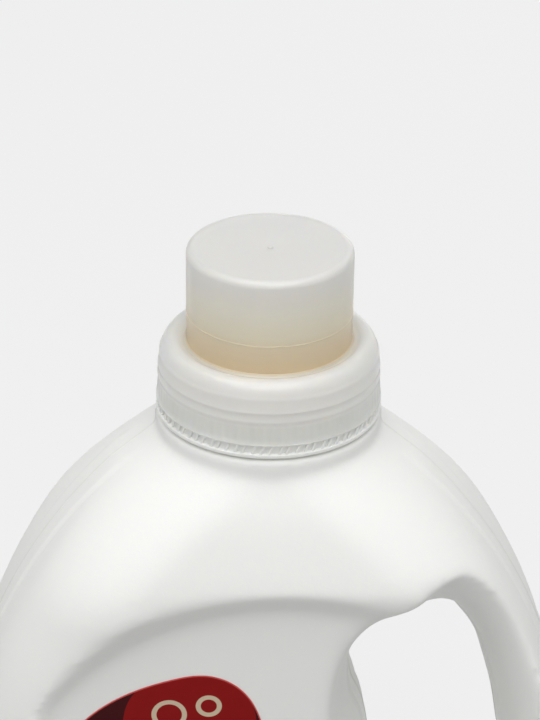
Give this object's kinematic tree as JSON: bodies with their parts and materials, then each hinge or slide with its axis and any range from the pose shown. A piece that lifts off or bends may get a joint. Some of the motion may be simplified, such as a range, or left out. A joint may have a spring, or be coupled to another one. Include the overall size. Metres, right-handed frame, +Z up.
{
  "type": "laundry detergent bottle",
  "caption": "Plastic detergent bottle with arched shoulders, a through handle, recessed label panels, a pour spout and a translucent screw-on dosing cap.",
  "frame": {"origin": "centre of the foot, on the surface that the bottle stands on, below the neck's axis", "axes": "+Z up along the neck, the handle at +X, the front label facing -Y, the parting plane of the bottle at Y = 0"},
  "size_m": [0.221, 0.1088, 0.2815],
  "materials": {
    "bottle_white": "satin",
    "spout_white": "satin",
    "cap_clear": "satin",
    "label_film": "gloss"
  },
  "bodies": {
    "vessel": {"bottle": "bottle_white", "pour_spout": "spout_white", "front_label": "label_film", "back_label": "label_film"},
    "ring": {"tamper_band": "cap_clear"},
    "cap": {"dosing_cap": "cap_clear"}
  },
  "joints": [
    {"name": "cap_turn", "type": "hinge", "parent": "vessel", "child": "ring", "pos_m": [0, 0, 0.222], "axis": [0, 0, 1], "range_deg": [0, 1080]},
    {"name": "cap_lift", "type": "slide", "parent": "ring", "child": "cap", "axis": [0, 0, 1], "range_m": [0, 0.045]}
  ],
  "couplings": [
    {"joint": "cap_lift", "follows": "cap_turn", "m_per_rad": 0.0023873}
  ]
}
